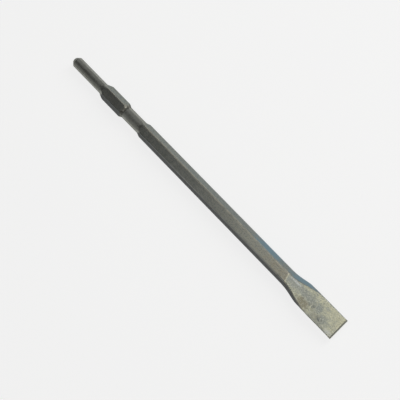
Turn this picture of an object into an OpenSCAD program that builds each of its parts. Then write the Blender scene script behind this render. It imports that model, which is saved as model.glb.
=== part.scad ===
// Flat chisel with a hexagon shank, for a demolition hammer. One bar of tool steel:
// its blade is forged flat, its shank is turned and its cutting edge is ground.
// It lies on one flat of the hexagon, with the cutting edge towards +X.
// The origin is on the surface that it lies on, under the middle of its length.

/* [Bar] */
// Length over all, from the striking face to the cutting edge
overall_l = 450; // [330:1:600]
// Size of the hexagon across its flats
hex_af = 17; // [16:0.5:19]
// Rounding of the hexagon's edges on the collar
collar_edge_r = 0.3; // [0.1:0.1:0.8]
// Rounding of the hexagon's rolled edges on the body
body_edge_r = 1.5; // [0.5:0.1:2.5]

/* [Pilot] */
// Diameter of the round pilot that enters the hammer
pilot_d = 13.5; // [11:0.1:14.5]
// Length of the pilot, from the striking face to the foot of the collar's front cone
pilot_l = 53.3; // [35:0.1:70]
// Diameter of the flat that is left in the middle of the striking face
strike_flat_d = 6.8; // [4:0.1:9]
// Slope of the nose's chamfer against the axis, in degrees
nose_angle = 38; // [35:1:55]
// Rounding where the chamfer meets the striking face
nose_face_r = 1.5; // [0.5:0.1:2]
// Rounding where the chamfer meets the pilot
nose_side_r = 1.2; // [0.5:0.1:3]

/* [Collar and neck] */
// Length of the collar over which the hexagon is whole
collar_l = 30.4; // [20:0.1:45]
// Slope of the cone in front of the collar, in degrees
collar_front_angle = 22; // [15:1:35]
// Slope of the cone behind the collar, in degrees
collar_back_angle = 30; // [20:1:45]
// Diameter of the neck that the hammer's retainer grips round
neck_d = 15.6; // [14:0.1:15.8]
// Length of the neck, between the feet of its two cones
neck_l = 28.7; // [18:0.1:40]
// Slope of the cone that rises from the neck to the body, in degrees
body_cone_angle = 18; // [12:1:30]
// Fillet at the foot of each cone
root_r = 6; // [2:0.5:8]

/* [Blade] */
// Length of the blade, from the ridge where its faces start to the cutting edge
blade_l = 78; // [70:1:110]
// Width of the blade
blade_w = 27; // [24:0.5:34]
// Distance from the ridge back to where the sides start to spread
spread_lead = 4; // [0:0.5:6]
// Slope of the spreading sides against the axis, in degrees
spread_angle = 11; // [8:0.5:16]
// Radius that leads from the body into the spreading sides
spread_in_r = 60; // [20:1:70]
// Radius of the blade's shoulders
shoulder_r = 20; // [10:1:40]
// Distance from the ridge to where the blade's faces reach their full width
face_l = 43; // [38:1:60]
// Rounding of the blade's long edges
blade_edge_r = 1; // [0.4:0.1:1.2]
// How far the middle of the blade's sides stands out past the rims of its faces
side_crown = 0.35; // [0.2:0.05:0.6]

/* [Cutting edge] */
// Thickness of the blade where the ground bevels start
edge_t = 3.2; // [2.6:0.1:5]
// Slope of each ground bevel against the blade's middle plane, in degrees
edge_angle = 45; // [25:1:60]
// Width of the land that is left along the cutting edge
edge_land = 0.4; // [0.1:0.1:1]

/* [Hidden] */

// Room that a cutting outline leaves around the stock that it doesn't touch
clear = 3;
// The same above the collar, where the two cones' outlines close in on each other
collar_clear = 1;
// Segments in each rounded edge of the bar
edge_steps = 4;
// Spacing of the cross-sections through the spreading part of the blade
section_step = 2;
// Smoothness of the turned roundings
$fn = 96;

// The hexagon: half its size across flats, across corners, and half the width of a flat
half_af = hex_af / 2;
half_ac = half_af / cos(30);
half_flat = half_af * tan(30);

// Stations along the bar, measured from the striking face
pilot_r = pilot_d / 2;
neck_r = neck_d / 2;
nose_l = (pilot_r - strike_flat_d / 2) / tan(nose_angle);
collar_x = pilot_l + (half_ac - pilot_r) / tan(collar_front_angle);
collar_end_x = collar_x + collar_l;
neck_x = collar_end_x + (half_ac - neck_r) / tan(collar_back_angle);
neck_end_x = neck_x + neck_l;
body_x = neck_end_x + (half_ac - neck_r) / tan(body_cone_angle);
ridge_x = overall_l - blade_l;
spread_x = ridge_x - spread_lead;
bevel_x = overall_l - (edge_t - edge_land) / 2 / tan(edge_angle);

// The spreading sides: an arc, a straight slope and an arc, which together rise from
// the rounded corner of the hexagon to the blade's full half width
body_half_w = half_ac - body_edge_r * (1 / cos(30) - 1);
spread_rise = blade_w / 2 - body_half_w;
arc_in_rise = spread_in_r * (1 - cos(spread_angle));
arc_out_rise = shoulder_r * (1 - cos(spread_angle));
arc_in_l = spread_in_r * sin(spread_angle);
arc_out_l = shoulder_r * sin(spread_angle);
slope_l = (spread_rise - arc_in_rise - arc_out_rise) / tan(spread_angle);
spread_l = arc_in_l + slope_l + arc_out_l;

// Half width that the spreading sides have gained at a distance d from their start
function side_gain(d) =
    d <= 0 ? 0 :
    d < arc_in_l ? spread_in_r - sqrt(pow(spread_in_r, 2) - pow(d, 2)) :
    d < arc_in_l + slope_l ? arc_in_rise + (d - arc_in_l) * tan(spread_angle) :
    d < spread_l ? spread_rise - shoulder_r + sqrt(pow(shoulder_r, 2) - pow(spread_l - d, 2)) :
    spread_rise;

// Smooth rise from 0 to 1, level at both ends
function ease(u) = let (v = min(1, max(0, u))) v * v * (3 - 2 * v);
function blend(from, to, u) = from + (to - from) * u;

// Half width at mid height, before its corner is rounded
function side_half(x) = half_ac + side_gain(x - spread_x) * (blade_w / 2 - half_ac) / spread_rise;
// Half width of the upper and lower faces
function face_half(x) =
    blend(half_flat, blade_w / 2 - side_crown, ease((x - ridge_x) / face_l));
// Half height between the upper and lower faces
function half_height(x) =
    x <= ridge_x ? half_af :
    blend(half_af, edge_t / 2, (x - ridge_x) / (bevel_x - ridge_x));
// Rounding of the edges beside the faces
function face_edge_r(x) =
    x < (neck_x + neck_end_x) / 2 ? collar_edge_r :
    blend(body_edge_r, blade_edge_r, ease((x - ridge_x) / face_l));
// Rounding of the edges at mid height
function side_edge_r(x) = x < (neck_x + neck_end_x) / 2 ? collar_edge_r : body_edge_r;

function unit(v) = v / norm(v);
// Sign of the turn from direction u to direction v
function turn(u, v) = sign(u[0] * v[1] - u[1] * v[0]);
// Half the angle between the two sides of corner p
function half_angle(before, p, after) = acos(unit(before - p) * unit(after - p)) / 2;
// Centre of the arc of radius r that rounds corner p
function arc_centre(before, p, after, r) =
    p + unit(unit(before - p) + unit(after - p)) * r / sin(half_angle(before, p, after));
// Points along the arc that rounds corner p
function round_corner(before, p, after, r) =
    let (c = arc_centre(before, p, after, r),
         half = half_angle(before, p, after),
         start = p + unit(before - p) * r / tan(half) - c,
         sweep = turn(p - before, after - p) * (180 - 2 * half),
         start_angle = atan2(start[1], start[0]))
    [for (i = [0 : edge_steps]) c + r * [cos(start_angle + sweep * i / edge_steps),
                                         sin(start_angle + sweep * i / edge_steps)]];

// Cross-section of the blank at x, six corners round from the right side, as [y, z]
function section_corners(x) =
    let (a = face_half(x), b = side_half(x), h = half_height(x))
    [[b, 0], [a, h], [-a, h], [-b, 0], [-a, -h], [a, -h]];
function section(x) =
    let (q = section_corners(x), n = len(q))
    [for (i = [0 : n - 1])
        each round_corner(q[(i + n - 1) % n], q[i], q[(i + 1) % n],
                          i % 3 == 0 ? side_edge_r(x) : face_edge_r(x))];

// Sections of the blank: two on each side of the neck, where the edges' rounding changes
// under the turned surface, then closely through the spread, and one past each end
spread_end = max(face_l, spread_l - spread_lead);
stations = [
    -clear, neck_x, neck_end_x, spread_x,
    for (d = [0 : section_step : spread_end]) ridge_x + d,
    ridge_x + spread_end + section_step, overall_l + clear
];

// Bar of hexagon section, forged flat at the blade end
module forged_blank() {
    rings = [for (x = stations) [for (p = section(x)) [x, p[0], p[1]]]];
    n = len(rings[0]);
    last = (len(rings) - 1) * n;
    polyhedron(
        points = [for (ring = rings) each ring],
        faces = [
            [for (i = [0 : n - 1]) i],
            for (k = [0 : len(rings) - 2], i = [0 : n - 1])
                [k * n + i, (k + 1) * n + i, (k + 1) * n + (i + 1) % n, k * n + (i + 1) % n],
            [for (i = [n - 1 : -1 : 0]) last + i]
        ]);
}

// Polygon whose corners are [x, y, r]: an outer corner with r is rounded, and an inner
// one gets a fillet. The points run anticlockwise.
module rounded_polygon(corners) {
    n = len(corners);
    p = [for (c = corners) [c[0], c[1]]];
    rounded = [for (i = [0 : n - 1]) if (corners[i][2] > 0) i];
    function before(i) = p[(i + n - 1) % n];
    function after(i) = p[(i + 1) % n];
    function tangent(i, towards) =
        p[i] + unit(towards - p[i]) * corners[i][2] / tan(half_angle(before(i), p[i], after(i)));
    function outer(i) = turn(p[i] - before(i), after(i) - p[i]) > 0;
    module arcs(wanted) {
        for (i = rounded)
            if (outer(i) == wanted)
                translate(arc_centre(before(i), p[i], after(i), corners[i][2]))
                    circle(r = corners[i][2]);
    }
    difference() {
        union() {
            polygon([for (i = [0 : n - 1])
                each corners[i][2] > 0 ? [tangent(i, before(i)), tangent(i, after(i))] : [p[i]]]);
            arcs(true);
        }
        arcs(false);
    }
}

// Everything that the lathe leaves: the nose, the pilot, the cones and the neck.
// Where the bar isn't turned, the outline stays clear of it.
module turned_outline() {
    blade_free = blade_w / 2 + clear;
    collar_free = half_ac + collar_clear;
    end_x = overall_l + clear;
    corners = [
        [0, 0, 0],
        [end_x, 0, 0],
        [end_x, blade_free, 0],
        [body_x + (blade_free - half_ac) / tan(body_cone_angle), blade_free, 0],
        [neck_end_x, neck_r, root_r],
        [neck_x, neck_r, root_r],
        [collar_end_x - collar_clear / tan(collar_back_angle), collar_free, 0],
        [collar_x + collar_clear / tan(collar_front_angle), collar_free, 0],
        [pilot_l, pilot_r, root_r],
        [nose_l, pilot_r, nose_side_r],
        [0, strike_flat_d / 2, nose_face_r]
    ];
    rounded_polygon(corners);
}

module lathe_envelope() {
    rotate([90, 0, 90])
        rotate_extrude()
            rotate([0, 0, 90])
                mirror([0, 1])
                    turned_outline();
}

// What the grinding wheel leaves at the cutting edge: two bevels and a narrow land
module grinding_envelope() {
    reach = hex_af;
    back_x = overall_l - (reach - edge_land / 2) / tan(edge_angle);
    width = blade_w + 2 * clear;
    translate([0, width / 2, 0])
        rotate([90, 0, 0])
            linear_extrude(width)
                polygon([
                    [-clear, -reach], [back_x, -reach],
                    [overall_l, -edge_land / 2], [overall_l, edge_land / 2],
                    [back_x, reach], [-clear, reach]
                ]);
}

module chisel() {
    color("#6e716c")
        translate([-overall_l / 2, 0, half_af])
            intersection() {
                forged_blank();
                lathe_envelope();
                grinding_envelope();
            }
}

chisel();
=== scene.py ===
"""A flat chisel with a hexagon shank, lying on one flat of its hexagon.

One bar of tool steel: the shank is turned, the body keeps the rolled hexagon, the blade is
forged flat and its cutting edge is ground. Lengths are in millimetres, and a station is a
distance along the bar from its striking face.
"""

import logging
import math
from dataclasses import dataclass
from enum import Enum
from typing import ClassVar

import bpy
import numpy as np
from mathutils import Matrix, Vector, noise

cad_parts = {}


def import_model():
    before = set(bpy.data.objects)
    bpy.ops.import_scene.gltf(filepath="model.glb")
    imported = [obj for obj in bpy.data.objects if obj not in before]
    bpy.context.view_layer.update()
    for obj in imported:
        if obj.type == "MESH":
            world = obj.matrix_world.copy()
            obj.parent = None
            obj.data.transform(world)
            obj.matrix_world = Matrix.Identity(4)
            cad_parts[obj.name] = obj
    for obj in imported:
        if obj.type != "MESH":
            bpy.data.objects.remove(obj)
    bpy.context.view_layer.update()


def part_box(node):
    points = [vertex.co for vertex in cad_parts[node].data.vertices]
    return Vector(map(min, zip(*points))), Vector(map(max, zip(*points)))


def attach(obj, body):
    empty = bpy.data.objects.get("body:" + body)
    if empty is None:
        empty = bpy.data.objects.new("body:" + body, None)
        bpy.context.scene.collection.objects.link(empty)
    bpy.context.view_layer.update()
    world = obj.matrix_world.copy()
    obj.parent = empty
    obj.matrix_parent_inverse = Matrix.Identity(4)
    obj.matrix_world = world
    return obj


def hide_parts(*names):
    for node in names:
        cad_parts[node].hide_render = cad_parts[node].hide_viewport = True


Socket = bpy.types.NodeSocket
Tree = bpy.types.NodeTree

LOG = logging.getLogger("chisel")
MM = 0.001
NODE = "chisel"
BODY = "root"

# Segments in each rounded edge, and points between two edges on a wide face and on a side
ARC_STEPS = 4
FACE_POINTS = 22
SIDE_POINTS = 8
# Distance that stands for far from an edge, or far before the dies' edge
FAR = 9.0
# Slack when a point is compared with a limit
SLACK = 1e-6
# Half the angle between two flats of a hexagon, and its corners at which a wide face starts
HALF_STEP = math.radians(30)
FACE_CORNERS = (1, 4)
# Numbers of the mix node's sockets, whose names are not unique: its share, its two numbers and
# its two colours going in, and the mixed colour coming out
SHARE, NUMBER_A, NUMBER_B, COLOUR_A, COLOUR_B, MIXED_COLOUR = 0, 2, 3, 6, 7, 2
# Nearly all values of a noise lie between these
NOISE_LOW, NOISE_HIGH = 0.3, 0.7


class Zone(Enum):
    """How a part of the bar's surface was made, numbered as its material slot."""

    TURNED = 0
    ROLLED = 1
    FORGED = 2
    GROUND = 3


def linear(colour: str) -> tuple[float, float, float, float]:
    """Turns an sRGB hex colour into linear RGBA.

    Args:
        colour: colour as a hash sign and six hex digits.

    Returns:
        The linear red, green and blue, and full alpha.
    """
    channels = [int(colour[i:i + 2], 16) / 255 for i in (1, 3, 5)]
    # The curve of sRGB: a straight part at the dark end, then a power
    red, green, blue = (c / 12.92 if c <= 0.04045 else ((c + 0.055) / 1.055) ** 2.4 for c in channels)
    return red, green, blue, 1.0


def add_node(
    tree: Tree,
    kind: str,
    inputs: dict | tuple = (),
    output: int | str = 0,
    **settings: object,
) -> Socket:
    """Adds one node with its settings, and sets or links its inputs.

    Args:
        tree: node tree that gets the node.
        kind: Blender's name for the type of shader node, without the ShaderNode before it.
        inputs: value or output socket for the first inputs in turn, or for each name or number.
        output: name or number of the output to return.
        settings: the node's own properties.

    Returns:
        The output, or the first input of a node that has no output.
    """
    node = tree.nodes.new("ShaderNode" + kind)
    for name, value in settings.items():
        setattr(node, name, value)
    for name, value in (inputs.items() if isinstance(inputs, dict) else enumerate(inputs)):
        if isinstance(value, Socket):
            tree.links.new(value, node.inputs[name])
        else:
            node.inputs[name].default_value = value
    return node.outputs[output] if node.outputs else node.inputs[0]


def ease(u: np.ndarray | float) -> np.ndarray | float:
    """Rises smoothly from 0 to 1, level at both ends."""
    v = np.clip(u, 0.0, 1.0)
    return v * v * (3 - 2 * v)


def unit(v: np.ndarray) -> np.ndarray:
    """Scales vectors along the last axis to length 1."""
    return v / np.linalg.norm(v, axis=-1, keepdims=True)


@dataclass(frozen=True)
class HexStock:
    """The rolled hexagon bar that the whole chisel is made from."""

    across_flats: float
    collar_edge_r: float = 0.3
    body_edge_r: float = 1.5

    @property
    def half_flats(self) -> float:
        """Half the size across flats."""
        return self.across_flats / 2

    @property
    def half_corners(self) -> float:
        """Half the size across corners, before they are rounded."""
        return self.half_flats / math.cos(HALF_STEP)

    @property
    def half_side(self) -> float:
        """Half the width of one flat."""
        return self.half_flats * math.tan(HALF_STEP)


@dataclass(frozen=True)
class TurnedShank:
    """Nose, pilot, cones and neck, as the lathe leaves them."""

    stock: HexStock
    pilot_d: float = 13.5
    pilot_l: float = 53.3
    strike_flat_d: float = 6.8
    nose_angle: float = 38.0
    nose_face_r: float = 1.5
    nose_side_r: float = 1.2
    collar_l: float = 30.4
    collar_front_angle: float = 22.0
    collar_back_angle: float = 30.0
    neck_d: float = 15.6
    neck_l: float = 28.7
    body_cone_angle: float = 18.0
    root_r: float = 6.0
    # How far the outline stands clear of the corners over the body and over the collar
    clear: float = 4.0
    collar_clear: float = 1.0
    search_steps: int = 2000

    def _cone_l(self, foot_d: float, angle: float, top: float) -> float:
        """Length over which a cone rises from its foot to the radius top."""
        return (top - foot_d / 2) / math.tan(math.radians(angle))

    @property
    def nose_l(self) -> float:
        """Length of the nose's chamfer."""
        return self._cone_l(self.strike_flat_d, self.nose_angle, self.pilot_d / 2)

    @property
    def collar_x(self) -> float:
        """Station at which the collar's hexagon is whole."""
        rise = self._cone_l(self.pilot_d, self.collar_front_angle, self.stock.half_corners)
        return self.pilot_l + rise

    @property
    def neck_x(self) -> float:
        """Station at the foot of the cone behind the collar."""
        rise = self._cone_l(self.neck_d, self.collar_back_angle, self.stock.half_corners)
        return self.collar_x + self.collar_l + rise

    @property
    def neck_end_x(self) -> float:
        """Station at the foot of the cone that rises to the body."""
        return self.neck_x + self.neck_l

    @property
    def body_x(self) -> float:
        """Station at which the body's hexagon is whole."""
        rise = self._cone_l(self.neck_d, self.body_cone_angle, self.stock.half_corners)
        return self.neck_end_x + rise

    def outline(self) -> list[tuple[float, float, float]]:
        """Lists the corners of the turned outline.

        Returns:
            Station, radius and rounding of each corner. Where the hexagon is whole, the radius
            stands clear of its corners.
        """
        free = self.stock.half_corners + self.clear
        over = self.stock.half_corners + self.collar_clear
        front_l = self._cone_l(self.pilot_d, self.collar_front_angle, over)
        back_l = self._cone_l(self.neck_d, self.collar_back_angle, over)
        body_l = self._cone_l(self.neck_d, self.body_cone_angle, free)
        return [
            (0.0, self.strike_flat_d / 2, self.nose_face_r),
            (self.nose_l, self.pilot_d / 2, self.nose_side_r),
            (self.pilot_l, self.pilot_d / 2, self.root_r),
            (self.pilot_l + front_l, over, 0.0),
            (self.neck_x - back_l, over, 0.0),
            (self.neck_x, self.neck_d / 2, self.root_r),
            (self.neck_end_x, self.neck_d / 2, self.root_r),
            (self.neck_end_x + body_l, free, 0.0),
        ]

    def radius(self, x: np.ndarray) -> np.ndarray:
        """Works out the turned radius, with the roundings of the outline's corners.

        Args:
            x: stations.

        Returns:
            The radius at each station.
        """
        corners = self.outline()
        turned = np.interp(x, [c[0] for c in corners], [c[1] for c in corners])
        points = [np.array([0.0, 0.0])] + [np.array(c[:2]) for c in corners]
        for k, (_, _, rounding) in enumerate(corners):
            if rounding == 0:
                continue
            before, corner, after = points[k], points[k + 1], points[k + 2]
            u, v = unit(before - corner), unit(after - corner)
            half = math.acos(float(u @ v)) / 2
            centre = corner + unit(u + v) * rounding / math.sin(half)
            reach = rounding / math.tan(half)
            within = (x >= corner[0] + u[0] * reach) & (x <= corner[0] + v[0] * reach)
            height = np.sqrt(np.maximum(rounding ** 2 - (x - centre[0]) ** 2, 0.0))
            outwards = math.copysign(1, corner[1] - centre[1])
            turned = np.where(within, centre[1] + outwards * height, turned)
        return turned

    def crossing(self, reach: np.ndarray, low: float, high: float) -> np.ndarray:
        """Stations between low and high at which the turned radius equals each reach.

        Args:
            reach: distances of the hexagon's points from the axis.
            low: station where the search starts.
            high: station where it ends.

        Returns:
            One station for each reach.
        """
        x = np.linspace(low, high, self.search_steps + 1)
        turned = self.radius(x)
        order = np.argsort(turned, kind="stable")
        return np.interp(reach, turned[order], x[order])


@dataclass(frozen=True)
class ForgedBlade:
    """The end of the bar that is forged flat and spread."""

    stock: HexStock
    length: float
    blade_l: float = 78.0
    blade_w: float = 27.0
    spread_lead: float = 4.0
    spread_angle: float = 11.0
    spread_in_r: float = 60.0
    shoulder_r: float = 20.0
    face_l: float = 43.0
    edge_r: float = 1.0
    side_crown: float = 0.35
    edge_t: float = 3.2
    edge_angle: float = 45.0
    edge_land: float = 0.4
    # The dies leave a small step where their faces end, slightly askew to the bar
    step_depth: float = 0.22
    step_l: float = 1.1
    step_fade: float = 9.0
    step_skew: float = -0.25
    line_lead: float = 0.2
    wobble: float = 0.5
    wobble_scale: float = 2.5
    wobble_row: tuple[float, float] = (7.3, 1.1)

    @property
    def ridge_x(self) -> float:
        """Station of the ridge, where the forged faces start."""
        return self.length - self.blade_l

    @property
    def bevel_x(self) -> float:
        """Station at which the ground bevels start."""
        bevel_height = (self.edge_t - self.edge_land) / 2
        return self.length - bevel_height / math.tan(math.radians(self.edge_angle))

    def side_half(self, x: np.ndarray) -> np.ndarray:
        """Works out the width at mid height, which an arc, a slope and an arc spread.

        Args:
            x: stations.

        Returns:
            Half the width at each station, before the side edges are rounded.
        """
        slope = math.radians(self.spread_angle)
        rounded_off = self.stock.body_edge_r * (1 / math.cos(HALF_STEP) - 1)
        rise = self.blade_w / 2 - (self.stock.half_corners - rounded_off)
        in_l, out_l = self.spread_in_r * math.sin(slope), self.shoulder_r * math.sin(slope)
        in_rise, out_rise = (r * (1 - math.cos(slope)) for r in (self.spread_in_r, self.shoulder_r))
        slope_l = (rise - in_rise - out_rise) / math.tan(slope)
        total = in_l + slope_l + out_l
        d = np.clip(x - (self.ridge_x - self.spread_lead), 0.0, total)
        left = np.minimum(total - d, out_l)
        gain_in = self.spread_in_r - np.sqrt(self.spread_in_r ** 2 - np.minimum(d, in_l) ** 2)
        gain_out = rise - self.shoulder_r + np.sqrt(self.shoulder_r ** 2 - left ** 2)
        gain_slope = in_rise + (d - in_l) * math.tan(slope)
        gain = np.where(d < in_l, gain_in, np.where(d < in_l + slope_l, gain_slope, gain_out))
        return self.stock.half_corners + gain * (self.blade_w / 2 - self.stock.half_corners) / rise

    def face_half(self, x: np.ndarray) -> np.ndarray:
        """Half width of the upper and lower faces."""
        gain = self.blade_w / 2 - self.side_crown - self.stock.half_side
        return self.stock.half_side + gain * ease((x - self.ridge_x) / self.face_l)

    def half_height(self, x: np.ndarray) -> np.ndarray:
        """Half height between the upper and lower faces."""
        taper = np.clip((x - self.ridge_x) / (self.bevel_x - self.ridge_x), 0.0, None)
        return self.stock.half_flats + (self.edge_t / 2 - self.stock.half_flats) * taper

    def ground_half(self, x: np.ndarray) -> np.ndarray:
        """Half height that the grinding wheel leaves."""
        return self.edge_land / 2 + (self.length - x) * math.tan(math.radians(self.edge_angle))

    def die_line(self, y: np.ndarray) -> np.ndarray:
        """Finds the dies' edge, which runs slightly askew and ragged across the bar.

        Args:
            y: distances across the bar.

        Returns:
            The station of the edge at each distance.
        """
        places = [Vector((float(v) / self.wobble_scale, *self.wobble_row)) for v in np.ravel(y)]
        wobble = np.array([noise.noise(place) for place in places]).reshape(np.shape(y))
        return self.ridge_x - self.line_lead + self.step_skew * y + self.wobble * wobble

    def die_step(self, x: np.ndarray, y: np.ndarray) -> np.ndarray:
        """Works out how far the dies press the faces in just past the ridge.

        Args:
            x: stations of the points.
            y: their distances across the bar.

        Returns:
            The depth at each point.
        """
        past = x - self.die_line(y)
        left = np.exp(-np.maximum(past, 0.0) / self.step_fade)
        return self.step_depth * ease(past / self.step_l) * left


@dataclass(frozen=True)
class Relief:
    """Unevenness of the steel, always cut into the bar so that its sizes stay."""

    body_depth: float = 0.05
    body_scale: float = 22.0
    blade_depth: float = 0.16
    blade_scale: float = 9.0
    dent_depth: float = 0.12
    dent_scale: float = 3.2
    # Where in the noise the waves and the dents are taken from
    wave_from: tuple[float, float, float] = (3.1, 0.0, 0.0)
    dent_from: tuple[float, float, float] = (0.0, 5.7, 0.0)
    # The blade's share starts this far before the ridge and is whole after forged_l; near both
    # ends of the bar the unevenness fades out over end_l
    forged_lead: float = 2.0
    forged_l: float = 14.0
    end_l: float = 6.0

    def depth(self, at: Vector, on_blade: float) -> float:
        """Depth of the unevenness at one point of the surface.

        Args:
            at: point on the surface.
            on_blade: 0 on the body and 1 on the forged blade.

        Returns:
            Depth below the true surface.
        """
        body = self.body_depth * (0.5 + 0.5 * noise.noise(at / self.body_scale))
        wave_at = at / self.blade_scale + Vector(self.wave_from)
        wave = self.blade_depth * (0.5 + 0.5 * noise.noise(wave_at))
        dent_at = at / self.dent_scale + Vector(self.dent_from)
        dent = self.dent_depth * max(0.0, noise.noise(dent_at))
        return body + on_blade * (wave + dent)


def ring_layout() -> tuple[np.ndarray, np.ndarray, np.ndarray]:
    """Describes the points of a cross-section, from the middle of its right side anticlockwise.

    Returns:
        For each point, how far it belongs to a side and not to the upper or lower face, and its
        share of the way along its flat, 0 on a rounded edge. For each segment that follows a
        point, whether it belongs to the upper or lower face.
    """
    sides, shares, faces = [], [], []
    for corner in range(6):
        at_side = corner % 3 == 0
        into_face = corner in FACE_CORNERS
        sides += [1.0 if at_side else 0.5] * (ARC_STEPS + 1)
        shares += [0.0] * (ARC_STEPS + 1)
        faces += [not at_side and (k >= ARC_STEPS // 2) == into_face for k in range(ARC_STEPS)]
        count = FACE_POINTS if into_face else SIDE_POINTS
        sides += [0.0 if into_face else 1.0] * count
        shares += [(k + 1) / (count + 1) for k in range(count)]
        faces += [into_face] * (count + 1)
    return tuple(np.roll(np.array(v), -(ARC_STEPS // 2)) for v in (sides, shares, faces))


def rounded_rings(corners: np.ndarray, radii: np.ndarray) -> np.ndarray:
    """Rounds the corners of cross-sections and fills their flats with points.

    Args:
        corners: six corners of each section as y and z, anticlockwise from the right side.
        radii: rounding of each corner.

    Returns:
        The points of each section as y and z, in the order of ring_layout.
    """
    before, after = np.roll(corners, 1, axis=1), np.roll(corners, -1, axis=1)
    u, v = unit(before - corners), unit(after - corners)
    half = np.arccos(np.sum(u * v, axis=-1)) / 2
    centres = corners + unit(u + v) * (radii / np.sin(half))[..., None]
    starts = corners + u * (radii / np.tan(half))[..., None] - centres
    first = np.arctan2(starts[..., 1], starts[..., 0])
    turn = first[..., None] + (math.pi - 2 * half)[..., None] * np.linspace(0, 1, ARC_STEPS + 1)
    spokes = np.stack([np.cos(turn), np.sin(turn)], axis=-1)
    arcs = centres[:, :, None, :] + radii[..., None, None] * spokes
    parts = []
    for corner in range(6):
        count = FACE_POINTS if corner in FACE_CORNERS else SIDE_POINTS
        share = (np.arange(count) + 1)[None, :, None] / (count + 1)
        start, end = arcs[:, corner, -1:, :], arcs[:, (corner + 1) % 6, :1, :]
        parts += [arcs[:, corner], start + (end - start) * share]
    return np.roll(np.concatenate(parts, axis=1), -(ARC_STEPS // 2), axis=1)


@dataclass
class Chisel:
    """The whole bar: its rings of points, its faces and the finish of each."""

    stock: HexStock
    shank: TurnedShank
    blade: ForgedBlade
    relief: Relief
    name: str = "chisel_steel"
    # Spacing of the rings along each stretch
    shank_pitch: float = 1.0
    collar_pitch: float = 1.5
    body_pitch: float = 1.2
    ridge_pitch: float = 0.35
    blade_pitch: float = 0.6
    # Distance of the rings that hold a crisp line from that line
    crisp: float = 0.2
    # Where the rings through a cone start before its foot, and how far they run on past it
    front_lead: float = 2.5
    back_lead: float = 5.0
    past_foot: float = 2.5
    past_corner: float = 2.0
    cone_steps: int = 9
    # Rings on the rounding of the striking face, and the spacing of those on the nose
    nose_rings: int = 8
    nose_pitch: float = 0.3
    nose_shares: tuple[float, float] = (0.66, 0.33)
    # Lengths of the close rings before and after the ridge
    ridge_lead: float = 5.0
    ridge_tail: float = 9.0
    # Points above this share of the half height lie on the upper or lower face
    face_share: float = 0.55
    normal_weight: int = 60

    def _plain(self, low: float, high: float, pitch: float) -> list[float]:
        """Stations from low up to high, without high."""
        count = max(1, round((high - low) / pitch))
        return list(low + (high - low) * np.arange(count) / count)

    def _section(self, x: np.ndarray) -> np.ndarray:
        """Works out cross-sections of the blank, before it is turned and ground.

        Args:
            x: stations.

        Returns:
            The points of each section as y and z, in the order of ring_layout.
        """
        a, b, h = self.blade.face_half(x), self.blade.side_half(x), self.blade.half_height(x)
        zero = np.zeros_like(x)
        pairs = ((b, zero), (a, h), (-a, h), (-b, zero), (-a, -h), (a, -h))
        corners = np.stack([np.stack(pair, axis=-1) for pair in pairs], axis=1)
        on_collar = x < (self.shank.neck_x + self.shank.neck_end_x) / 2
        side_r = np.where(on_collar, self.stock.collar_edge_r, self.stock.body_edge_r)
        forged = ease((x - self.blade.ridge_x) / self.blade.face_l)
        face_r = np.where(on_collar, side_r, side_r + (self.blade.edge_r - side_r) * forged)
        radii = np.stack([side_r, face_r, face_r, side_r, face_r, face_r], axis=1)
        return rounded_rings(corners, radii)

    def _scallop(self, low: float, high: float, nominal: float) -> tuple[list[np.ndarray], int]:
        """Rings through a cone, one of which follows the line where it cuts the hexagon's flats.

        Args:
            low: station where the stretch starts.
            high: station where it ends.
            nominal: station whose cross-section the flats have there.

        Returns:
            Stations of each ring's points, and which of those rings follows the line.
        """
        reach = np.linalg.norm(self._section(np.array([nominal]))[0], axis=1)
        line = self.shank.crossing(reach, low, high)
        steps = self.cone_steps
        rising = [low + (line - self.crisp - low) * k / steps for k in range(steps + 1)]
        falling = [line + self.crisp + (high - line - self.crisp) * k / steps for k in range(steps)]
        return rising + [line] + falling, len(rising)

    def rings(self) -> tuple[np.ndarray, np.ndarray, list[int]]:
        """Lays out all the rings of points.

        Returns:
            The station of every point, each ring's nominal station, and the numbers of the three
            rings that follow a cone's line.
        """
        shank, blade = self.shank, self.blade
        turn = np.radians(np.linspace(0, 90 - shank.nose_angle, self.nose_rings))
        arc = shank.nose_face_r * (1 - np.cos(turn))
        nose_end, neck_start = shank.nose_l + self.past_foot, shank.neck_x + self.past_foot
        front, back = shank.pilot_l - self.front_lead, shank.neck_x - self.back_lead
        body = shank.neck_end_x - self.front_lead
        collar_start, body_start = shank.collar_x + self.past_corner, shank.body_x + self.past_corner
        close, open_ = blade.ridge_x - self.ridge_lead, blade.ridge_x + self.ridge_tail
        bevel = [blade.bevel_x - self.crisp, blade.bevel_x, blade.bevel_x + self.crisp]
        points = len(ring_layout()[0])
        rows, nominal, lines = [], [], []

        def plain(stations: list[float]) -> None:
            """Adds rings that stand square to the axis."""
            rows.extend(np.full(points, x) for x in stations)
            nominal.extend(stations)

        def scallop(low: float, high: float, flats: float) -> None:
            """Adds the rings through one cone.

            Args:
                low: station where the cone's rings start.
                high: station where they end.
                flats: station whose cross-section the flats have there.
            """
            stations, line = self._scallop(low, high, flats)
            lines.append(len(rows) + line)
            rows.extend(stations)
            nominal.extend([flats] * len(stations))

        plain(list(arc))
        plain(self._plain(float(arc[-1]) + self.crisp, nose_end, self.nose_pitch))
        plain(self._plain(nose_end, front, self.shank_pitch))
        scallop(front, collar_start, shank.collar_x)
        plain(self._plain(collar_start, back, self.collar_pitch))
        scallop(back, neck_start, shank.collar_x)
        plain(self._plain(neck_start, body, self.shank_pitch))
        scallop(body, body_start, shank.body_x)
        plain(self._plain(body_start, close, self.body_pitch))
        plain(self._plain(close, open_, self.ridge_pitch))
        plain(self._plain(open_, bevel[0], self.blade_pitch))
        plain(bevel)
        plain(self._plain(blade.bevel_x + 2 * self.crisp, blade.length, self.crisp))
        plain([blade.length])
        return np.array(rows), np.array(nominal), lines

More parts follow.
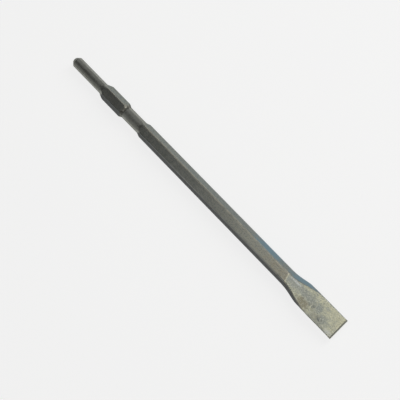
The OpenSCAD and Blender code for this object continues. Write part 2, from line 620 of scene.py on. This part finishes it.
    def _surface(
        self, x: np.ndarray, nominal: np.ndarray
    ) -> tuple[np.ndarray, np.ndarray, np.ndarray]:
        """Places every point on the turned, forged and ground surface.

        Args:
            x: station of every point.
            nominal: each ring's nominal station.

        Returns:
            The points as x, y and z in the part's frame, each one's distance from the nearest edge
            of the hexagon, and its distance past the dies' edge.
        """
        section = self._section(nominal)
        sides, shares, _ = ring_layout()
        step = np.linalg.norm(np.roll(section, -1, axis=1) - section, axis=-1)
        flat_w = step * np.where(sides == 0.0, FACE_POINTS + 1, SIDE_POINTS + 1)
        from_edge = np.minimum(shares, 1 - shares) * flat_w
        reach = np.linalg.norm(section, axis=-1)
        section = section * np.minimum(1.0, self.shank.radius(x) / reach)[..., None]
        y, z = section[..., 0], section[..., 1]
        on_face = np.abs(z) > self.face_share * self.blade.half_height(nominal)[:, None]
        z = z - np.sign(z) * np.where(on_face, self.blade.die_step(x, y), 0.0)
        ground = self.blade.ground_half(x)
        z = np.clip(z, -ground, ground)
        points = np.stack([x - self.blade.length / 2, y, z + self.stock.half_flats], axis=-1)
        past_dies = np.where(on_face, x - self.blade.die_line(y), -FAR)
        return points, from_edge, past_dies

    def _zones(self, x: np.ndarray, points: np.ndarray, lines: list[int]) -> np.ndarray:
        """Finish of the quad that follows each point, for every pair of rings.

        Args:
            x: station of every point.
            points: the points themselves.
            lines: numbers of the rings that follow the cones' lines.

        Returns:
            Slot numbers, one row for each pair of rings.
        """
        faces = ring_layout()[2]
        pairs = len(x) - 1
        zones = np.full((pairs, x.shape[1]), Zone.ROLLED.value)
        middle = (points[1:] + points[:-1]) / 2
        past_dies = middle[..., 0] + self.blade.length / 2 > self.blade.die_line(middle[..., 1])
        zones[faces[None, :] & past_dies] = Zone.FORGED.value
        ring = np.arange(pairs)
        turned = (ring < lines[0]) | ((ring >= lines[1]) & (ring < lines[2]))
        zones[turned] = Zone.TURNED.value
        height = np.abs(points[..., 2] - self.stock.half_flats)
        cut = height >= self.blade.ground_half(x) - SLACK
        both = cut[1:] & np.roll(cut, -1, axis=1)[1:]
        zones[both & (x[:-1] >= self.blade.bevel_x - SLACK)] = Zone.GROUND.value
        return zones

    def build(self, materials: dict[Zone, bpy.types.Material]) -> bpy.types.Object:
        """Builds the bar as one closed mesh with its finishes.

        Args:
            materials: the material of each zone.

        Returns:
            The mesh object, in metres.
        """
        x, nominal, lines = self.rings()
        points, from_edge, past_dies = self._surface(x, nominal)
        zones = self._zones(x, points, lines)
        rings, count = x.shape
        verts = points.reshape(-1, 3)
        sides = np.tile(ring_layout()[0], rings)
        faces, slots = [], []
        for k in range(rings - 1):
            for j in range(count):
                j2 = (j + 1) % count
                here, there = k * count, (k + 1) * count
                faces.append((here + j2, there + j2, there + j, here + j))
                slots.append(int(zones[k, j]))
        verts, extra = self._close_nose(verts, count, faces, slots)
        self._close_edge((rings - 1) * count, count, faces, slots)
        mesh = bpy.data.meshes.new(self.name)
        mesh.from_pydata([tuple(v) for v in verts * MM], [], faces)
        mesh.polygons.foreach_set("material_index", slots)
        mesh.polygons.foreach_set("use_smooth", [True] * len(faces))
        for zone in Zone:
            mesh.materials.append(materials[zone])
        # Numbers for each point that the materials read
        stored = {"side": (sides, 0.0), "from_edge": (from_edge, FAR), "past_dies": (past_dies, -FAR)}
        for name, (values, at_nose) in stored.items():
            values = np.append(values.ravel(), np.full(extra, at_nose))
            attribute = mesh.attributes.new(name, "FLOAT", "POINT")
            attribute.data.foreach_set("value", values.astype(np.float32))
        mesh.update()
        mesh.validate()
        self._roughen(mesh)
        piece = bpy.data.objects.new(self.name, mesh)
        bpy.context.collection.objects.link(piece)
        normals = piece.modifiers.new("flat_normals", "WEIGHTED_NORMAL")
        normals.weight = self.normal_weight
        return piece

    def _close_nose(
        self, verts: np.ndarray, count: int, faces: list, slots: list
    ) -> tuple[np.ndarray, int]:
        """Closes the striking face with rings and a fan round its middle.

        Args:
            verts: points so far.
            count: points in a ring.
            faces: list of faces, to which these are added.
            slots: their slot numbers, likewise.

        Returns:
            All the points, and how many were added.
        """
        rim = verts[:count]
        middle = np.array([rim[0, 0], 0.0, self.stock.half_flats])
        start, outer, added = len(verts), 0, []
        for share in self.nose_shares:
            added.append(middle + (rim - middle) * share)
            for j in range(count):
                j2 = (j + 1) % count
                faces.append((outer + j, start + j, start + j2, outer + j2))
                slots.append(Zone.TURNED.value)
            outer, start = start, start + count
        for j in range(count):
            faces.append((outer + j, start, outer + (j + 1) % count))
            slots.append(Zone.TURNED.value)
        added.append(middle[None, :])
        fresh = np.concatenate(added)
        return np.concatenate([verts, fresh]), len(fresh)

    def _close_edge(self, first: int, count: int, faces: list, slots: list) -> None:
        """Closes the land along the cutting edge by joining each point to the one below it.

        Args:
            first: number of the last ring's first point.
            count: points in a ring.
            faces: list of faces, to which these are added.
            slots: their slot numbers, likewise.
        """
        half = count // 2
        for j in range(half):
            above, below = first + j, first + (count - j) % count
            above2, below2 = first + j + 1, first + count - j - 1
            corners = [above2, below2, below, above]
            faces.append(tuple(dict.fromkeys(corners)))
            slots.append(Zone.GROUND.value)

    def _roughen(self, mesh: bpy.types.Mesh) -> None:
        """Cuts the unevenness into the surface, along its normals.

        Args:
            mesh: the bar's mesh, in metres.
        """
        half, relief = self.blade.length / 2, self.relief
        forged_x = self.blade.ridge_x - relief.forged_lead
        depths = np.empty(len(mesh.vertices))
        normals = np.empty(len(mesh.vertices) * 3)
        mesh.vertex_normals.foreach_get("vector", normals)
        for i, vertex in enumerate(mesh.vertices):
            at = vertex.co / MM
            station = at.x + half
            forged = float(ease((station - forged_x) / relief.forged_l))
            to_end = min(station, self.blade.length - station)
            depths[i] = relief.depth(at, forged) * float(ease(to_end / relief.end_l))
        co = np.empty(len(mesh.vertices) * 3)
        mesh.vertices.foreach_get("co", co)
        co -= normals * np.repeat(depths, 3) * MM
        mesh.vertices.foreach_set("co", co)
        mesh.update()


class By(Enum):
    """What a fade follows: a coordinate on the bar, or a number that the mesh stores."""

    ALONG = "X"
    ACROSS = "Y"
    UP = "Z"
    SIDE = "side"
    EDGE = "from_edge"
    DIES = "past_dies"


@dataclass(frozen=True)
class Surface:
    """A material that is being made: its nodes, and what its masks start from."""

    material: bpy.types.Material
    shader: bpy.types.Node
    place: Socket
    ragged: Socket
    sources: dict[By, Socket]

    @property
    def tree(self) -> Tree:
        """The material's node tree."""
        return self.material.node_tree


@dataclass(frozen=True)
class Fade:
    """A share that goes from one value to another with a distance in millimetres."""

    by: By
    low: float
    high: float
    start: float = 0.0
    end: float = 1.0

    def mask(self, surface: Surface) -> Socket:
        """Adds the share to a material."""
        inputs = (surface.sources[self.by], self.low, self.high, self.start, self.end)
        return add_node(surface.tree, "MapRange", inputs)


@dataclass(frozen=True)
class Clouds:
    """Clouds of a real size in millimetres along, across and up the bar."""

    size: tuple[float, float, float]
    low: float = 0.35
    high: float = 0.65
    start: float = 0.0
    end: float = 1.0
    detail: float = 5.0
    detail_share: float = 0.6

    def noise(self, tree: Tree, place: Socket) -> Socket:
        """Adds the clouds as noise round 0.5.

        Args:
            tree: the material's node tree.
            place: place on the bar in millimetres.

        Returns:
            The noise.
        """
        scale = tuple(1 / s for s in self.size)
        scaled = add_node(tree, "Mapping", {"Vector": place, "Scale": scale})
        settings = {"Scale": 1.0, "Detail": self.detail, "Roughness": self.detail_share}
        return add_node(tree, "TexNoise", {"Vector": scaled, **settings})

    def mask(self, surface: Surface) -> Socket:
        """Adds the share that the clouds cover to a material."""
        inputs = (self.noise(surface.tree, surface.place), self.low, self.high, self.start, self.end)
        return add_node(surface.tree, "MapRange", inputs)


@dataclass(frozen=True)
class Spot:
    """A ragged spot, placed from the middle of the bar, with its half length and half width."""

    along: float
    across: float
    half_l: float
    half_w: float
    # How much of the noise the rim gets, and the sums of both at which the spot thins and ends
    ragged: float = 2.4
    thins: float = 1.7
    ends: float = 2.5

    def mask(self, surface: Surface) -> Socket:
        """Adds the share that the spot covers to a material.

        Args:
            surface: the material.

        Returns:
            1 on the spot and 0 off it, with a ragged rim.
        """
        tree = surface.tree
        shift = (-self.along / self.half_l, -self.across / self.half_w, 0.0)
        scale = (1 / self.half_l, 1 / self.half_w, 0.0)
        inputs = {"Vector": surface.place, "Location": shift, "Scale": scale}
        scaled = add_node(tree, "Mapping", inputs)
        reach = add_node(tree, "VectorMath", (scaled,), output="Value", operation="LENGTH")
        terms = (surface.ragged, self.ragged, reach)
        warped = add_node(tree, "Math", terms, operation="MULTIPLY_ADD")
        return add_node(tree, "MapRange", (warped, self.thins, self.ends, 1.0, 0.0))


@dataclass(frozen=True)
class Layer:
    """A colour that covers a surface as far as all its masks let it."""

    colour: str
    share: float
    masks: tuple[Fade | Clouds | Spot, ...]

    def cover(self, surface: Surface, below: Socket) -> Socket:
        """Lays the layer over the colour below it.

        Args:
            surface: the material.
            below: the colour so far.

        Returns:
            The colour with this layer on it.
        """
        tree, share = surface.tree, self.share
        for mask in self.masks:
            terms = (share, mask.mask(surface))
            share = add_node(tree, "Math", terms, operation="MULTIPLY")
        inputs = {SHARE: share, COLOUR_A: below, COLOUR_B: linear(self.colour)}
        return add_node(tree, "Mix", inputs, output=MIXED_COLOUR, data_type="RGBA")


# Masks for the upper half of the bar, its left and right half, its side flats and its wide faces
UPPER = Fade(By.UP, 8, 9)
LEFT = Fade(By.ACROSS, -1, 1, 1, 0)
RIGHT = Fade(By.ACROSS, -1, 1)
FLANK = Fade(By.SIDE, 0, 1)
FACE = Fade(By.SIDE, 0, 1, 1, 0)


def stain_and_shade_spot(colour: str, share: float, *spot: float) -> Layer:
    """Describes a spot on the upper half, by its colour, its share and the values of its spot: mostly
    stains, once painted shade.
    """
    return Layer(colour, share, (Spot(*spot), UPPER))


@dataclass(frozen=True)
class Finish:
    """A bare metal surface: two tones in clouds, layers over them, and a fine grain."""

    name: str
    colour: str
    dark: str
    roughness: tuple[float, float]
    clouds: Clouds
    grain: Clouds
    grain_depth: float
    ragged: Clouds
    layers: tuple[Layer, ...] = ()
    # Colour of the reflection at a grazing angle, which dark scale dulls
    grazing: str = "#ffffff"

    def build(self) -> bpy.types.Material:
        """Builds the material.

        Returns:
            The material, ready for a mesh.
        """
        surface = self._start()
        tree = surface.tree
        tones = {COLOUR_A: linear(self.dark), COLOUR_B: linear(self.colour)}
        inputs = {SHARE: self.clouds.mask(surface), **tones}
        tint = add_node(tree, "Mix", inputs, output=MIXED_COLOUR, data_type="RGBA")
        for layer in self.layers:
            tint = layer.cover(surface, tint)
        grain = self.grain.noise(tree, surface.place)
        spread = (grain, NOISE_LOW, NOISE_HIGH, *self.roughness)
        gloss = add_node(tree, "MapRange", spread)
        bump = add_node(tree, "Bump", {"Height": grain, "Distance": self.grain_depth * MM})
        for name, socket in (("Base Color", tint), ("Roughness", gloss), ("Normal", bump)):
            tree.links.new(socket, surface.shader.inputs[name])
        return surface.material

    def _start(self) -> Surface:
        """Starts the material.

        Returns:
            The material with its shader and all that the masks need.
        """
        material = bpy.data.materials.new(self.name)
        material.use_nodes = True
        tree = material.node_tree
        tree.nodes.clear()
        shine = {"Metallic": 1.0, "Specular Tint": linear(self.grazing)}
        metal = add_node(tree, "BsdfPrincipled", shine)
        add_node(tree, "OutputMaterial", (metal,))
        coords = add_node(tree, "TexCoord", output="Object")
        inputs = {"Vector": coords, "Scale": (1 / MM, 1 / MM, 1 / MM)}
        place = add_node(tree, "Mapping", inputs)
        axes = add_node(tree, "SeparateXYZ", (place,)).node.outputs
        sources = {by: axes[by.value] for by in (By.ALONG, By.ACROSS, By.UP)}
        for by in (By.SIDE, By.EDGE, By.DIES):
            sources[by] = add_node(tree, "Attribute", output="Fac", attribute_name=by.value)
        return Surface(material, metal.node, place, self.ragged.noise(tree, place), sources)


@dataclass(frozen=True)
class TurnedSteel(Finish):
    """Tool steel, turned and dulled in use: grey, with fine rings round it that soften its gloss."""

    name: str = "tool_steel_turned"
    colour: str = "#a7a9a2"
    dark: str = "#989991"
    roughness: tuple[float, float] = (0.28, 0.36)
    clouds: Clouds = Clouds((9.0, 9.0, 9.0))
    # The turning marks are about 0.15 mm apart; they are drawn at 0.6 mm so that they show
    grain: Clouds = Clouds((0.6, 60.0, 60.0), detail=1.0)
    grain_depth: float = 0.001
    ragged: Clouds = Clouds((1.6, 1.6, 1.6))
    # Painted shade: the cone behind the collar is darkened, with a darker spot on it, to dim the lamps'
    # highlight there; the colour is also darker over the nose's tip
    layers: tuple[Layer, ...] = (
        Layer("#6d6d66", 0.8, (Fade(By.ALONG, -134.5, -133), Fade(By.ALONG, -129, -127, 1, 0))),
        stain_and_shade_spot("#55534c", 0.9, -132.0, 1.6, 3.0, 5.5),
        Layer("#6f6e66", 0.8, (Fade(By.ALONG, -223.0, -221.5, 1, 0),)),
    )
    grazing: str = "#a8a8a8"


@dataclass(frozen=True)
class RolledSteel(Finish):
    """Tool steel dark from hot rolling: grey, with temper blue and brown near the blade, and painted
    light and shade on its faces and flanks.
    """

    # Masks for the edges of the upper face, and for the stretches that two of the layers cover
    near_edge: ClassVar[Fade] = Fade(By.EDGE, 0.1, 0.5, 1, 0)
    top: ClassVar[Fade] = Fade(By.UP, 16.0, 16.4)
    shank_end: ClassVar[Fade] = Fade(By.ALONG, -45, -25, 1, 0)
    past_neck: ClassVar[Fade] = Fade(By.ALONG, -90, -40)
    skin_and_painted_light: ClassVar[tuple[Layer, ...]] = (
        # Painted light: the upper and lower faces are lightened towards the blade
        Layer("#9e9f94", 1.0, (Fade(By.ALONG, 10, 85), FACE)),
        # Painted shade: the left flank is darkened, and the right flank gets a tone of its own, as
        # shaded and lit copies of the skin
        Layer("#4e4f4c", 1.0, (FLANK, LEFT)),
        Layer("#898e89", 1.0, (FLANK, RIGHT)),
        Layer("#9b937f", 0.8, (Fade(By.ALONG, 100, 130), Clouds((3.0, 2.0, 2.0), start=0.3), FACE)),
        Layer("#a0936f", 0.5, (Fade(By.ALONG, 0, 130), Clouds((1.4, 1.1, 1.1), 0.52, 0.66), FACE)),
        Layer("#a5a08a", 0.5, (shank_end, Clouds((3.0, 1.2, 1.2), 0.5, 0.64), FLANK, RIGHT)),
        Layer("#666c70", 0.6, (Clouds((1.7, 1.3, 1.3), 0.49, 0.60, detail=3.0),)),
        Layer("#aca997", 0.5, (Clouds((1.5, 1.2, 1.4), 0.54, 0.64, detail=3.0), FACE)),
    )
    temper_blue: ClassVar[tuple[Layer, ...]] = (
        Layer("#75909d", 0.80, (Spot(110.0, 9.0, 20.0, 12.0), FLANK, RIGHT)),
        Layer("#7b929c", 0.90, (Spot(164.0, 10.0, 18.0, 12.0), FLANK, RIGHT)),
    )
    # Pale lines along the edges of the upper face: worn steel on the left, and on the right partly worn
    # steel, partly a painted highlight
    rubbed_and_highlight: ClassVar[tuple[Layer, ...]] = (
        Layer("#c6c2b2", 0.8, (near_edge, top, RIGHT, Clouds((5.0, 1.2, 1.2), 0.4, 0.55, 0.3))),
        Layer("#a9aaa2", 0.7, (near_edge, top, LEFT, Clouds((9.0, 1.2, 1.2), 0.3, 0.5), past_neck)),
    )
    name: str = "tool_steel_rolled"
    colour: str = "#91938c"
    dark: str = "#83857e"
    roughness: tuple[float, float] = (0.30, 0.42)
    clouds: Clouds = Clouds((7.0, 7.0, 7.0))
    # The fine pits of the rolled skin are about half a millimetre across
    grain: Clouds = Clouds((0.5, 0.5, 0.5), detail=3.0)
    grain_depth: float = 0.02
    ragged: Clouds = Clouds((5.0, 3.0, 3.0))
    layers: tuple[Layer, ...] = skin_and_painted_light + temper_blue + rubbed_and_highlight
    grazing: str = "#d3d3d3"


@dataclass(frozen=True)
class ForgedSteel(Finish):
    """Tool steel pressed between dies: pale straw grey, with grey scale and brown stains left on it,
    and painted light towards the end and along the dies' edge.
    """

    # Fine specks all over, which the stains lie on
    flecks: ClassVar[tuple[Layer, ...]] = (
        Layer("#848c8b", 0.75, (Clouds((1.7, 1.4, 1.4), 0.51, 0.61, detail=4.0),)),
        Layer("#d6d2b0", 0.65, (Clouds((2.1, 1.3, 2.0), 0.53, 0.63, detail=4.0),)),
    )
    scale: ClassVar[tuple[Layer, ...]] = (
        # Painted light: a pale sheet lightens the blade towards its cutting end and its right side
        Layer("#cdcaac", 0.55, (Fade(By.ALONG, 185, 222), Fade(By.ACROSS, -6, 6, 0.2, 1))),
        stain_and_shade_spot("#999c95", 0.90, 157.5, 1.8, 18.0, 5.2),
        stain_and_shade_spot("#94978f", 0.90, 179.5, 1.4, 14.0, 5.2),
        stain_and_shade_spot("#858b88", 0.75, 195.0, 2.0, 4.0, 6.5),
        stain_and_shade_spot("#93978f", 0.85, 206.5, -4.6, 7.5, 5.8),
        stain_and_shade_spot("#8b8e86", 0.70, 203.0, -12.0, 19.0, 2.6),
        stain_and_shade_spot("#8f948f", 0.60, 203.0, 7.5, 4.0, 1.6),
        stain_and_shade_spot("#87826f", 0.85, 177.0, -7.2, 10.0, 5.2),
        stain_and_shade_spot("#8d8c80", 0.65, 197.0, -7.0, 10.0, 3.6),
    )
    spots: ClassVar[tuple[Layer, ...]] = (
        stain_and_shade_spot("#6a6e6a", 0.70, 188.5, -2.0, 3.2, 2.6),
        stain_and_shade_spot("#666b69", 0.80, 202.5, -7.0, 2.4, 2.2),
        stain_and_shade_spot("#c3c5bd", 0.70, 218.0, -10.3, 5.0, 2.4),
        stain_and_shade_spot("#c9ccc8", 0.80, 157.0, 4.2, 8.0, 1.3),
    )
    mottle: ClassVar[tuple[Layer, ...]] = (
        Layer("#787c78", 0.45, (Clouds((1.5, 1.2, 1.2), 0.52, 0.62, detail=3.0),)),
        Layer("#d6d6c6", 0.50, (Clouds((1.6, 1.1, 1.4), 0.53, 0.63, detail=3.0),)),
    )
    # Painted highlight: a bright line along the dies' edge, where its step would catch the light,
    # brightest towards the left
    highlight_line_masks: ClassVar[tuple[Fade, ...]] = (
        Fade(By.DIES, -0.3, 0.4),
        Fade(By.DIES, 0.6, 1.3, 1, 0),
        Fade(By.ACROSS, -5, 5, 1, 0.45),
    )
    name: str = "tool_steel_forged"
    colour: str = "#bfbea5"
    dark: str = "#aeae9a"
    roughness: tuple[float, float] = (0.34, 0.46)
    clouds: Clouds = Clouds((8.0, 8.0, 8.0))
    # The fine pits that the scale leaves are a little coarser than the rolled skin's
    grain: Clouds = Clouds((0.6, 0.6, 0.6), detail=3.0)
    grain_depth: float = 0.03
    ragged: Clouds = Clouds((4.0, 3.0, 3.0), detail=8.0)
    layers: tuple[Layer, ...] = flecks + scale + spots + mottle + (Layer("#dad5bb", 1.0, highlight_line_masks),)


@dataclass(frozen=True)
class GroundSteel(Finish):
    """Tool steel, ground on a wheel: clean grey with fine scratches across the bevel."""

    name: str = "tool_steel_ground"
    colour: str = "#b8b8aa"
    dark: str = "#adada0"
    roughness: tuple[float, float] = (0.36, 0.44)
    clouds: Clouds = Clouds((4.0, 4.0, 4.0))
    # The grit leaves scratches about 0.05 mm apart; they are drawn at 0.3 mm so that they show
    grain: Clouds = Clouds((5.0, 0.3, 5.0), detail=3.0)
    grain_depth: float = 0.01
    ragged: Clouds = Clouds((3.0, 3.0, 3.0))


@dataclass(frozen=True)
class Lamp:
    """A soft box: a rectangle that shines one way with an even brightness."""

    name: str
    place: tuple[float, float, float]
    aim: tuple[float, float, float]
    size: tuple[float, float]
    brightness: float

    def hang(self) -> None:
        """Adds the lamp to the scene."""
        light = bpy.data.lights.new(self.name, "AREA")
        light.shape = "RECTANGLE"
        light.size, light.size_y = (s * MM for s in self.size)
        light.energy = self.brightness * math.pi * light.size * light.size_y
        lamp = bpy.data.objects.new(self.name, light)
        bpy.context.collection.objects.link(lamp)
        lamp.location = Vector(self.place) * MM
        towards = Vector(self.aim) - Vector(self.place)
        lamp.rotation_euler = towards.to_track_quat("-Z", "Y").to_euler()


@dataclass(frozen=True)
class Studio:
    """Floor, lamps and camera round the bar."""

    floor_half: float = 4000.0
    floor_colour: str = "#f4f4f2"
    floor_glow: float = 0.78
    # Brightness of the room's walls, and of its ceiling as a share of that. Both are given by
    # the height of a direction, from 0 at the horizon to 1 overhead.
    walls: float = 0.296
    ceiling_share: float = 0.12
    walls_to: float = 0.45
    ceiling_from: float = 0.8
    # Share of it behind the bar, and the directions between which that share sets in
    behind_share: float = 0.3
    behind_full: float = -0.9
    behind_none: float = -0.55
    # Brightness of the room as the camera sees it past the floor
    backdrop: float = 0.9
    target: tuple[float, float, float] = (10.8, -9.5, 8.5)
    towards_camera: tuple[float, float, float] = (0.3706, 0.0890, 0.9245)
    camera_distance: float = 1450.0
    camera_roll: float = -58.7
    camera_lens: float = 117.93
    camera_sensor: float = 36.0
    lamps: tuple[Lamp, ...] = (
        Lamp("overhead", (-75, -100, 1800), (-75, -100, 0), (950, 1200), 1.35),
        Lamp("overhead_dim", (1000, -100, 1800), (1000, -100, 0), (1200, 1200), 0.5),
        Lamp("key", (420, 1400, 1100), (0, 0, 0), (650, 1200), 5.0),
        Lamp("right_wall", (-300, 1000, 1200), (0, 0, 0), (2200, 900), 0.2),
        Lamp("left_wall", (-300, -1100, 1000), (0, 0, 0), (2200, 1000), 0.12),
    )

    def lay_floor(self) -> bpy.types.Object:
        """Lays the pale floor, which the camera and the steel see as near white.

        Returns:
            The floor.
        """
        half = self.floor_half * MM
        mesh = bpy.data.meshes.new("floor")
        corners = [(-half, -half, 0), (half, -half, 0), (half, half, 0), (-half, half, 0)]
        mesh.from_pydata(corners, [], [(0, 1, 2, 3)])
        floor = bpy.data.objects.new("floor", mesh)
        bpy.context.collection.objects.link(floor)
        material = bpy.data.materials.new("paper_floor")
        material.use_nodes = True
        tree = material.node_tree
        tree.nodes.clear()
        paper = add_node(tree, "BsdfDiffuse", (linear(self.floor_colour),))
        glow = add_node(tree, "Emission", {"Strength": 1.0})
        rays = add_node(tree, "LightPath").node.outputs
        pair = (rays["Is Glossy Ray"], rays["Is Transmission Ray"])
        mirrored = add_node(tree, "Math", pair, operation="ADD")
        pair = (rays["Is Camera Ray"], mirrored)
        seen = add_node(tree, "Math", pair, operation="ADD", use_clamp=True)
        share = add_node(tree, "Math", (seen, self.floor_glow), operation="MULTIPLY")
        mix = add_node(tree, "MixShader", (share, paper, glow))
        add_node(tree, "OutputMaterial", (mix,))
        mesh.materials.append(material)
        return floor

    def light(self) -> None:
        """Hangs the lamps and sets the even light of the room."""
        for lamp in self.lamps:
            lamp.hang()
        world = bpy.data.worlds.new("room")
        world.use_nodes = True
        tree = world.node_tree
        tree.nodes.clear()
        coords = add_node(tree, "TexCoord", output="Generated")
        direction = add_node(tree, "SeparateXYZ", (coords,)).node.outputs
        ceiling = self.walls * self.ceiling_share
        height = (direction["Z"], self.walls_to, self.ceiling_from, self.walls, ceiling)
        level = add_node(tree, "MapRange", height)
        behind = (direction["X"], self.behind_full, self.behind_none, self.behind_share, 1.0)
        turned_off = add_node(tree, "MapRange", behind)
        strength = add_node(tree, "Math", (level, turned_off), operation="MULTIPLY")
        camera = add_node(tree, "LightPath").node.outputs["Is Camera Ray"]
        levels = {SHARE: camera, NUMBER_A: strength, NUMBER_B: self.backdrop}
        seen = add_node(tree, "Mix", levels)
        room = add_node(tree, "Background", ((1.0, 1.0, 1.0, 1.0), seen))
        add_node(tree, "OutputWorld", (room,))
        bpy.context.scene.world = world

    def place_camera(self) -> None:
        """Places the camera at the photograph's viewing angle."""
        back = Vector(self.towards_camera).normalized()
        level = (-back).cross(Vector((0, 0, 1))).normalized()
        upright = level.cross(-back)
        roll = math.radians(self.camera_roll)
        right = level * math.cos(roll) + upright * math.sin(roll)
        up = upright * math.cos(roll) - level * math.sin(roll)
        lens = bpy.data.cameras.new("camera")
        lens.lens = self.camera_lens
        lens.sensor_width = self.camera_sensor
        camera = bpy.data.objects.new("camera", lens)
        bpy.context.collection.objects.link(camera)
        matrix = Matrix((right, up, back)).transposed().to_4x4()
        matrix.translation = (Vector(self.target) + back * self.camera_distance) * MM
        camera.matrix_world = matrix
        bpy.context.scene.camera = camera


def main() -> None:
    """Builds the chisel round its CAD bar, then the studio."""
    logging.basicConfig(level=logging.INFO, format="%(message)s")
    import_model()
    low, high = (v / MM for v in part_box(NODE))
    stock = HexStock(across_flats=high.z - low.z)
    blade = ForgedBlade(stock=stock, length=high.x - low.x, blade_w=high.y - low.y)
    chisel = Chisel(stock, TurnedShank(stock), blade, Relief())
    finishes = {
        Zone.TURNED: TurnedSteel(),
        Zone.ROLLED: RolledSteel(),
        Zone.FORGED: ForgedSteel(),
        Zone.GROUND: GroundSteel(),
    }
    piece = chisel.build({zone: finish.build() for zone, finish in finishes.items()})
    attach(piece, BODY)
    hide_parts(NODE)
    mesh = piece.data
    LOG.info("%s: %d points, %d faces", piece.name, len(mesh.vertices), len(mesh.polygons))
    studio = Studio()
    studio.lay_floor()
    studio.light()
    studio.place_camera()
    bpy.context.scene.view_settings.view_transform = "Standard"


if __name__ == "__main__":
    main()
